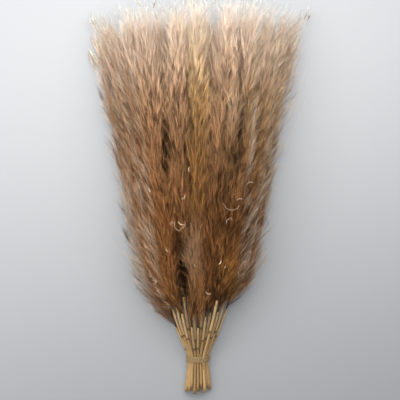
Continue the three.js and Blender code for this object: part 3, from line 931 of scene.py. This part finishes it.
PLUME_COLOURS = (  # from the lower end of the plumes to their tips
    (0.00, (0.318, 0.157, 0.057)), (0.20, (0.274, 0.125, 0.043)), (0.35, (0.261, 0.120, 0.043)),
    (0.55, (0.322, 0.179, 0.085)), (0.70, (0.412, 0.270, 0.160)), (0.82, (0.610, 0.463, 0.345)),
    (0.90, (0.715, 0.578, 0.468)), (0.97, (0.870, 0.755, 0.660)),
)
OLIVE_TO_RUST = ((0.0, (1.06, 1.00, 0.66)), (0.5, (1.0, 0.96, 0.94)), (1.0, (1.10, 0.84, 0.72)))
FADED_COLOUR = (0.520, 0.390, 0.265)
FRINGE_GLOW_COLOUR = (0.72, 0.58, 0.44)
LOCKS = (200, 20, 200)  # how fine the locks are each way, and the patches of painted shade in creases
CREASE_SHADE_NOISE = (16, 5, 16)
COLOURED_FROM_TO = (0.1, 1.06)  # the places along the bundle where the colours start and end
PALER_FROM_TO = (0.60, 0.92)  # as shares of that run, where the painted shade near the stalk and in creases grows fainter
CONTRAST = (0.82, 0.03)  # low down, and at the tips
# painted shade: how light the hair at the stalk is, low down and towards the tips
PAINTED_STALK_SHADE = (0.50, 0.90)
FREE_HAIR = 1.10
FREE_FROM_TO = (0.15, 0.90)  # from this share of the plume's radius on, hair is out of the painted shade
PRESSED_FROM_TO = (0.32, 0.50)
# painted light: how far out at the side the fringe is painted paler, and by how much
FRINGE_FROM_TO = (0.66, 1.20)
FRINGE_GLOW = 0.72
# painted shade in creases where plumes press on each other, low down and towards the tips
PAINTED_CREASE_SHADE = (-0.55, -0.12)
# painted light: how much paler the hair ends are painted, as light shines through them
HAIR_TIP_GLOW = 0.45
DARKEST = 0.28
LIGHTEST = 2.1


def clouds(tree, place, stretch, detail):
    """Soft noise over the place, finer where it is stretched more."""
    mapping = added(tree, "ShaderNodeMapping")
    mapping.inputs["Scale"].default_value = stretch
    link(tree, place, mapping.inputs["Vector"])
    noise = added(tree, "ShaderNodeTexNoise")
    noise.inputs["Scale"].default_value = 1.0
    noise.inputs["Detail"].default_value = detail
    link(tree, mapping.outputs["Vector"], noise.inputs["Vector"])
    return noise.outputs["Fac"]


plume_finish = bpy.data.materials.new("silky_plume")
tree, shader = shader_of(plume_finish)
shader.inputs["Roughness"].default_value = 0.62
shader.inputs["Specular IOR Level"].default_value = 0.02
shader.inputs["Sheen Weight"].default_value = 0.02
shader.inputs["Sheen Roughness"].default_value = 0.5
shader.inputs["Sheen Tint"].default_value = (1.0, 0.85, 0.65, 1)
place = added(tree, "ShaderNodeTexCoord").outputs["Object"]
split = added(tree, "ShaderNodeSeparateXYZ")
link(tree, place, split.inputs[0])
height = mapped(tree, split.outputs["Y"], *COLOURED_FROM_TO)
# locks of hair that share a tone, and strands that differ less in tone towards the tips
locks = worked_out(tree, "MULTIPLY_ADD", clouds(tree, place, LOCKS, 3.0), 3.0, -1.5)
tones = worked_out(tree, "ADD", locks, read(tree, "tone"))
contrast = mapped(tree, height, 0.0, 1.0, *CONTRAST)
# painted shade: the hair near the stalk, and in creases where plumes press on each other, is painted
# darker, where shade falls inside the plumes
stalk_shade = mapped(tree, height, *PALER_FROM_TO, *PAINTED_STALK_SHADE, "SMOOTHSTEP")
depth = mapped(tree, read(tree, "outer"), *FREE_FROM_TO, stalk_shade, FREE_HAIR, "SMOOTHSTEP")
crease_mask = mapped(tree, read(tree, "pressed"), *PRESSED_FROM_TO, kind="SMOOTHSTEP")
crease_shade_strength = mapped(tree, height, *PALER_FROM_TO, *PAINTED_CREASE_SHADE)
crease_shade_patches = clouds(tree, place, CREASE_SHADE_NOISE, 2.0)
crease_shade_patches = mapped(tree, crease_shade_patches, 0.35, 0.60, 0.0, crease_shade_strength, "SMOOTHSTEP")
depth_and_crease_shade = worked_out(tree, "MULTIPLY_ADD", crease_mask, crease_shade_patches, depth)
lightness = worked_out(tree, "MULTIPLY_ADD", tones, contrast, depth_and_crease_shade)
# painted light: the hair ends are painted paler, as if lit through
lighter = worked_out(tree, "MULTIPLY_ADD", read(tree, "pale"), HAIR_TIP_GLOW, lightness)
kept = added(tree, "ShaderNodeClamp")
kept.inputs["Min"].default_value = DARKEST
kept.inputs["Max"].default_value = LIGHTEST
link(tree, lighter, kept.inputs["Value"])
shade = scaled(tree, ramp(tree, height, PLUME_COLOURS), kept.outputs[0])
tinted = added(tree, "ShaderNodeVectorMath", operation="MULTIPLY")
link(tree, shade, tinted.inputs[0])
link(tree, ramp(tree, mapped(tree, read(tree, "warm"), -1.5, 1.5), OLIVE_TO_RUST), tinted.inputs[1])
weathered = washed(tree, tinted.outputs[0], FADED_COLOUR, read(tree, "faded"))
# painted light: the hair that stands free at the sides is painted pale, as light shines through it
fringe_glow = mapped(tree, read(tree, "free"), *FRINGE_FROM_TO, 0.0, FRINGE_GLOW, "SMOOTHSTEP")
with_fringe_glow = washed(tree, weathered, FRINGE_GLOW_COLOUR, fringe_glow)
with_fringe_glow.node.blend_type = "LIGHTEN"
with_fringe_glow.node.clamp_result = True
link(tree, with_fringe_glow, shader.inputs["Base Color"])

LAND_CELL = 0.008  # of the height map of the plumes, for what lies on them
LAND_FROM = (-0.40, 0.0)
LAND_CELLS = (100, 140)
land = np.zeros(LAND_CELLS)
for i in stem_number:
    points, triangles, values, on_map = feathers(i)
    piece = piece_of(f"feathers_{i + 1:02d}", points, triangles, plume_finish, values, on_map)
    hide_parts(f"plume_{i + 1:02d}")
    cell = ((points[:, :2] - LAND_FROM) / LAND_CELL).astype(int)
    np.maximum.at(land, (cell[:, 0], cell[:, 1]), points[:, 2])

# ---- Leaf remains ---------------------------------------------------------------------
# Dried strips of leaf and sheath that stayed on the stems when they were picked. They have
# curled up, and stick out of the plumes here and there.

CURLS = (  # place, radius, how far round it goes, which way it starts, how far it leans
    ((-0.049, 0.408), 0.0140, 4.1, 0.6, 0.3),
    ((-0.045, 0.414), 0.0100, 2.4, 5.6, 0.6),
    ((0.094, 0.468), 0.0225, 2.5, 5.8, 0.2),
    ((0.118, 0.466), 0.0120, 1.6, 2.6, 0.3),
    ((0.087, 0.414), 0.0075, 3.6, 3.9, 0.5),
    ((-0.041, 0.484), 0.0060, 3.4, 1.0, 0.7),
    ((-0.071, 0.408), 0.0050, 3.0, 4.0, 0.6),
    ((-0.126, 0.240), 0.0055, 4.4, 2.6, 0.5),
    ((-0.085, 0.336), 0.0060, 2.6, 5.1, 0.9),
    ((0.060, 0.300), 0.0070, 2.4, 0.9, 0.9),
    ((0.112, 0.262), 0.0060, 3.1, 2.0, 0.7),
    ((-0.020, 0.560), 0.0080, 2.0, 4.4, 0.8),
    ((0.150, 0.520), 0.0065, 2.7, 3.1, 0.7),
    ((-0.138, 0.500), 0.0060, 2.3, 1.8, 0.9),
    ((0.030, 0.215), 0.0075, 2.9, 5.8, 0.6),
    ((0.165, 0.445), 0.0035, 2.2, 2.0, 0.5),
    ((0.074, 0.286), 0.0040, 2.5, 1.0, 0.5),
    ((-0.005, 0.291), 0.0045, 2.6, 4.5, 0.4),
)
CURL_STEPS = 22
CURL_WIDTH = 0.0042
CURL_THICKNESS = 0.00035
CURL_OPENS = 0.35  # how much its radius grows, as a share
CURL_RISE = 0.5  # in radii, from one end to the other
CURL_SUNK = 0.0015
PAST_END = 1.02  # the share of the turn from which a point belongs to the strip's root


def curl_shape(radius, turn):
    """A strip that curls round Z: its points, each one's share of the length, and triangles."""
    deselect()
    bpy.ops.mesh.primitive_plane_add(size=1, location=(radius, 0, 0), rotation=(math.pi / 2, 0, 0))
    strip = bpy.context.object
    strip.scale = (CURL_THICKNESS, CURL_WIDTH, 1)
    bpy.ops.object.transform_apply(location=True, rotation=True, scale=True)
    bpy.ops.object.mode_set(mode="EDIT")
    bpy.ops.mesh.select_all(action="SELECT")
    bpy.ops.mesh.spin(steps=CURL_STEPS, angle=turn, center=(0, 0, 0), axis=(0, 0, 1))
    bpy.ops.mesh.select_all(action="SELECT")
    bpy.ops.mesh.quads_convert_to_tris()
    bpy.ops.mesh.normals_make_consistent(inside=False)
    bpy.ops.object.mode_set(mode="OBJECT")
    points = np.array([v.co for v in strip.data.vertices])
    triangles = np.array([p.vertices for p in strip.data.polygons])
    bpy.data.objects.remove(strip)
    angle = np.arctan2(points[:, 1], points[:, 0])
    angle = np.mod(angle + 0.02, 2 * math.pi) - 0.02
    share = angle / turn
    share = np.where(share > PAST_END, 0, share)
    return points, np.clip(abs(share), 0, 1), triangles


dried_leaf = bpy.data.materials.new("dried_leaf")
tree, shader = shader_of(dried_leaf)
fibres = streaks(tree, 1800.0, 60.0)
colour = ramp(tree, fibres, (
    (0.0, (0.400, 0.260, 0.140)), (0.5, (0.680, 0.520, 0.350)), (1.0, (0.850, 0.730, 0.560))))
link(tree, toned(tree, colour, 0.2), shader.inputs["Base Color"])
shader.inputs["Roughness"].default_value = 0.6
shader.inputs["Specular IOR Level"].default_value = 0.3
raised(tree, shader, fibres, 0.0002)

for k, ((at_x, at_y), radius, turn, heading, lean) in enumerate(CURLS):
    points, share, triangles = curl_shape(radius, turn)
    from_axis = np.hypot(points[:, 0], points[:, 1])
    straight = np.stack([from_axis - radius, points[:, 2], share * turn * radius], -1)
    width = 0.25 + 0.75 * np.sin(math.pi * (0.08 + 0.84 * share)) ** 0.7
    opened = 1 + CURL_OPENS * share
    points = np.stack([points[:, 0] * opened, points[:, 1] * opened,
                       points[:, 2] * width + CURL_RISE * radius * share], -1)
    # leaned over, then turned to its heading, with its first end in the plume
    c, s = math.cos(lean), math.sin(lean)
    points = points @ np.array([[1, 0, 0], [0, c, s], [0, -s, c]])
    c, s = math.cos(heading), math.sin(heading)
    points = points @ np.array([[c, s, 0], [-s, c, 0], [0, 0, 1]])
    cell = ((np.array([at_x, at_y]) - LAND_FROM) / LAND_CELL).astype(int)
    ground = np.median(land[cell[0] - 1:cell[0] + 2, cell[1] - 1:cell[1] + 2])
    lowest = points[share < 0.3, 2].mean()
    points = points + [at_x, at_y, ground - CURL_SUNK - lowest]
    tone = np.full(len(points), 2 * draw(k, 31) - 1)
    piece_of(f"leaf_curl_{k + 1:02d}", points, triangles, dried_leaf,
             {"straight": straight + [0.2 * k, 0, 0], "tone": tone})

# ---- Tie ------------------------------------------------------------------------------
# Five turns of rough jute twine, three strands twisted together, wound tightly round the culms.
# Its ends are knotted on top and cut off short, and loose fibres stand out of it all over.

TIE_TURNS = 5
TURN_PITCH = 0.0032
OUTLINE_STEPS = 720
TWINE_STEP = 0.0011
TWINE_OUT = 0.0020  # half its thickness across the stems
TWINE_ALONG = 0.0017  # and along them, where the turns press on each other
STRAND_RADIUS = 0.0010
STRAND_SIDES = 7
TWIST = 0.013  # the length of one twist
KNOT_ACROSS = 0.009
KNOT_SIZE = 0.00215
KNOT_HEIGHT = 0.0016
KNOT_STEPS = 90
TAILS = (  # from the knot over the turns and down on the stems: where its points lie
    ((0.008, 0.003, 0.001), (0.004, 0.012, 0.0005), (0.001, 0.020, -0.0022), (-0.003, 0.030, -0.0020)),
    ((0.011, -0.003, 0.001), (0.013, -0.012, 0.0005), (0.016, -0.020, -0.0022), (0.015, -0.029, -0.0024)),
)
TAIL_STEPS = 26
FUZZ_HAIRS = 900
FUZZ_LENGTHS = (0.002, 0.006)
FUZZ_SCATTER = 0.75
FUZZ_RADII = (0.00011, 0.00009, 0.00003)
LOOSE_END = 0.72  # how thick the knot and the ends are, next to the turns

stem_x, stem_z = middles(0.0)
outer_radius = CULM_RADIUS + CONTACT_GAP + TWINE
tie_top = stem_z.max() + outer_radius


def wound():
    """The middle line of the twine round the stems, and which way is out: (steps, 3) each."""
    angle = 2 * math.pi * np.arange(OUTLINE_STEPS) / OUTLINE_STEPS
    way = np.stack([np.cos(angle), np.sin(angle)], -1)
    furthest = (way[:, :1] * stem_x + way[:, 1:] * stem_z).argmax(-1)
    outline = np.stack([stem_x[furthest], stem_z[furthest]], -1) + (outer_radius - TWINE_OUT) * way
    first = np.hypot(outline[:, 0] - KNOT_ACROSS, outline[:, 1] - tie_top).argmin()
    outline = np.roll(outline, -first, axis=0)
    way = np.roll(way, -first, axis=0)
    outline = np.concatenate([outline, outline[:1]])
    way = np.concatenate([way, way[:1]])
    run = np.concatenate([[0], np.cumsum(np.hypot(*np.diff(outline, axis=0).T))])
    length = run[-1]
    along = np.arange(0, TIE_TURNS * length, TWINE_STEP)
    at = along % length
    x, z, out_x, out_z = (np.interp(at, run, v) for v in (*outline.T, *way.T))
    y = TURN_PITCH * (along / length - TIE_TURNS / 2)
    return np.stack([x, y, z], -1), np.stack([out_x, 0 * x, out_z], -1)


def twine(line, out, thin=1.0):
    """Twisted strands along a line: points, triangles and each point's place on its strand."""
    tangent = unit(np.gradient(line, axis=0))
    side = unit(np.cross(tangent, out))
    out = np.cross(side, tangent)
    step = np.linalg.norm(np.diff(line, axis=0), axis=1)
    run = np.concatenate([[0], np.cumsum(step)])
    phase = 2 * math.pi * (run / TWIST + np.arange(3)[:, None] / 3)
    away = (out * (TWINE_OUT - STRAND_RADIUS) * np.cos(phase)[..., None]
            + side * (TWINE_ALONG - STRAND_RADIUS) * np.sin(phase)[..., None])
    strands = line + thin * away
    radii = np.full(strands.shape[:2], thin * STRAND_RADIUS)
    points, triangles = tube(strands, radii, STRAND_SIDES)
    angle = 2 * math.pi * np.arange(STRAND_SIDES) / STRAND_SIDES
    straight = np.zeros((3, len(line), STRAND_SIDES, 3))
    straight[..., 0] = STRAND_RADIUS * np.cos(angle) + 0.05 * np.arange(3)[:, None, None]
    straight[..., 1] = STRAND_RADIUS * np.sin(angle)
    straight[..., 2] = run[:, None]
    return points, triangles, straight.reshape(-1, 3)


def knotted():
    """The middle line of the knot, an overhand loop drawn tight."""
    t = 2 * math.pi * np.arange(KNOT_STEPS + 1) / KNOT_STEPS
    x = KNOT_ACROSS + KNOT_SIZE * (np.sin(t) + 2 * np.sin(2 * t))
    y = KNOT_SIZE * (np.cos(t) - 2 * np.cos(2 * t))
    z = tie_top - 0.0006 - KNOT_HEIGHT * np.sin(3 * t)
    return np.stack([x, y, z], -1)


def through(corners, steps):
    """A smooth line through its corners."""
    corners = np.array(corners, float)
    t = np.linspace(0, len(corners) - 1, steps)
    k = np.clip(t.astype(int), 0, len(corners) - 2)
    u = (t - k)[:, None]
    before = corners[np.maximum(k - 1, 0)]
    a, b = corners[k], corners[k + 1]
    after = corners[np.minimum(k + 2, len(corners) - 1)]
    return 0.5 * (2 * a + (b - before) * u + (2 * before - 5 * a + 4 * b - after) * u**2
                  + (3 * a - before - 3 * b + after) * u**3)


upwards = np.array([[0.0, 0.0, 1.0]])
rope = [twine(*wound()), twine(knotted(), upwards, LOOSE_END)]
for corners in TAILS:
    rope.append(twine(through(corners, TAIL_STEPS) + [0, 0, tie_top], upwards, LOOSE_END))
# loose fibres
skin = np.concatenate([part[0] for part in rope])
foot = skin[rng.integers(0, len(skin), FUZZ_HAIRS)]
middle = np.stack([0 * foot[:, 0], foot[:, 1], np.full(FUZZ_HAIRS, stem_z.mean())], -1)
away = (foot - middle) * [0.6, 0.3, 1.0]
away = unit(unit(away) + rng.normal(0, FUZZ_SCATTER, foot.shape))
tip = foot + away * rng.uniform(*FUZZ_LENGTHS, FUZZ_HAIRS)[:, None]
tip[:, 2] = np.maximum(tip[:, 2], 0.0004)
bend = 0.5 * (foot + tip) + rng.normal(0, 0.0004, foot.shape)
hair_path = np.stack([foot, bend, tip], 1)
hair_path[..., 2] = np.maximum(hair_path[..., 2], 0.0003)
hair_radii = np.broadcast_to(FUZZ_RADII, hair_path.shape[:2])
fuzz_points, fuzz_triangles = tube(hair_path, hair_radii, 3)
rope.append((fuzz_points, fuzz_triangles, fuzz_points))
points, triangles, straight, tone = [], [], [], []
count = 0
for k, (new_points, new_triangles, new_straight) in enumerate(rope):
    points.append(new_points)
    triangles.append(new_triangles + count)
    straight.append(new_straight + [0.3 * k, 0, 0])
    tone.append(np.full(len(new_points), 1.2 if k == len(rope) - 1 else 0.0))
    count += len(new_points)
points = np.concatenate(points)
points[:, 2] = np.maximum(points[:, 2], 0)

rough_jute = bpy.data.materials.new("rough_jute")
tree, shader = shader_of(rough_jute)
fibres = streaks(tree, 2600.0, 260.0)
colour = ramp(tree, fibres, (
    (0.0, (0.130, 0.070, 0.028)), (0.5, (0.330, 0.215, 0.105)), (1.0, (0.560, 0.420, 0.240))))
link(tree, toned(tree, colour, 0.15), shader.inputs["Base Color"])
shader.inputs["Roughness"].default_value = 0.85
shader.inputs["Specular IOR Level"].default_value = 0.2
raised(tree, shader, fibres, 0.0004)
piece = piece_of("twine", points, np.concatenate(triangles), rough_jute,
                 {"straight": np.concatenate(straight), "tone": np.concatenate(tone)})
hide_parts("tie")
